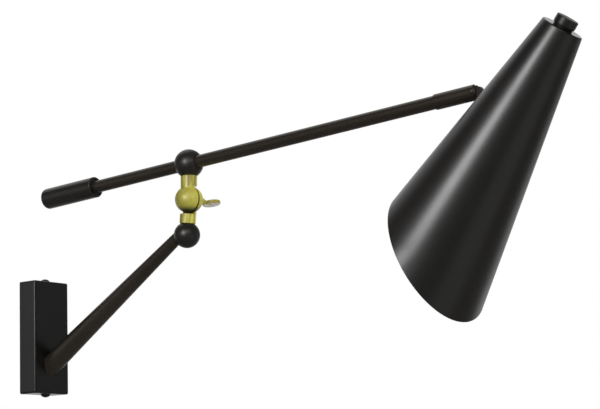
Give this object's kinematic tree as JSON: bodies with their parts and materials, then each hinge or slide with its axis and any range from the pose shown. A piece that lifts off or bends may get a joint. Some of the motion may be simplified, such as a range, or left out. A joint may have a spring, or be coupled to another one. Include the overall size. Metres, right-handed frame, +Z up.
{
  "type": "swing arm wall sconce",
  "caption": "Wall lamp with a square cover, a fixed tapered arm, a brass friction knuckle, a counterweighted boom and a slant-cut cone shade on a fork hinge.",
  "frame": {"origin": "on the wall plane, at the middle of the bracket's two fixing slots", "axes": "+X out of the wall, +Z up, +Y along the wall; the lamp stands in the XZ plane"},
  "size_m": [0.6791, 0.1206, 0.3032],
  "materials": {
    "black_steel": "satin black powder coat",
    "black_shade": "satin black powder coat on spun aluminium",
    "brass": "satin brushed",
    "zinc": "zinc plated",
    "rubber": "matte",
    "moulding": "moulded",
    "fibre": "pressed fibre",
    "switch_moulding": "moulded",
    "ceramic": "glazed",
    "contact": "plain"
  },
  "bodies": {
    "wall_base": {"wall_bracket": "zinc", "wall_cover": "black_steel", "cover_screws": "black_steel", "cable_grommet": "rubber", "terminal_block": "moulding", "terminal_screw": "zinc", "ground_screw": "contact", "lower_arm": "black_steel", "arm_washer": "zinc", "arm_lock_nut": "zinc", "lower_ball": "black_steel", "ball_plug": "black_steel", "thrust_washer": "fibre"},
    "knuckle_swivel": {"lower_knuckle": "brass", "stem_washer": "zinc", "stem_nut": "zinc", "friction_washer": "fibre"},
    "boom": {"upper_knuckle": "brass", "upper_ball": "black_steel", "ball_grub_screw": "black_steel", "boom_tube": "black_steel", "counterweight": "black_steel", "weight_grub_screw": "black_steel"},
    "clamp": {"thumb_screw": "brass"},
    "sleeve": {"shade_sleeve": "black_steel", "dog_screw": "black_steel", "hinge_pin": "black_steel"},
    "shade_head": {"shade_lug": "black_steel", "lug_screws": "black_steel", "shade": "black_shade", "switch_body": "switch_moulding", "switch_nut": "black_steel", "holder_hoop": "zinc", "holder_screws": "zinc", "lamp_holder": "ceramic", "screw_shell": "contact", "centre_contact": "contact"},
    "button": {"switch_button": "black_steel"}
  },
  "joints": [
    {"name": "boom_swing", "type": "hinge", "parent": "wall_base", "child": "knuckle_swivel", "pos_m": [0.21665, 0, 0.08901], "axis": [0.0958, 0, 0.9954], "range_deg": [-90, 90]},
    {"name": "boom_tilt", "type": "hinge", "parent": "knuckle_swivel", "child": "boom", "pos_m": [0.22013, 0, 0.12509], "axis": [0, 1, 0], "range_deg": [-30, 45]},
    {"name": "thumb_turn", "type": "hinge", "parent": "boom", "child": "clamp", "pos_m": [0.22013, 0, 0.12509], "axis": [0, 1, 0], "range_deg": [0, 270]},
    {"name": "shade_swivel", "type": "hinge", "parent": "boom", "child": "sleeve", "pos_m": [0.56897, 0, 0.18177], "axis": [0.9984, 0, 0.0569], "range_deg": [-90, 90]},
    {"name": "shade_tilt", "type": "hinge", "parent": "sleeve", "child": "shade_head", "pos_m": [0.56897, 0, 0.18177], "axis": [0, 1, 0], "range_deg": [-60, 30]},
    {"name": "button_press", "type": "slide", "parent": "shade_head", "child": "button", "axis": [-0.6177, 0, -0.7864], "range_m": [0, 0.0015], "stiffness_N_per_m": 1500, "springref_m": -0.001}
  ]
}
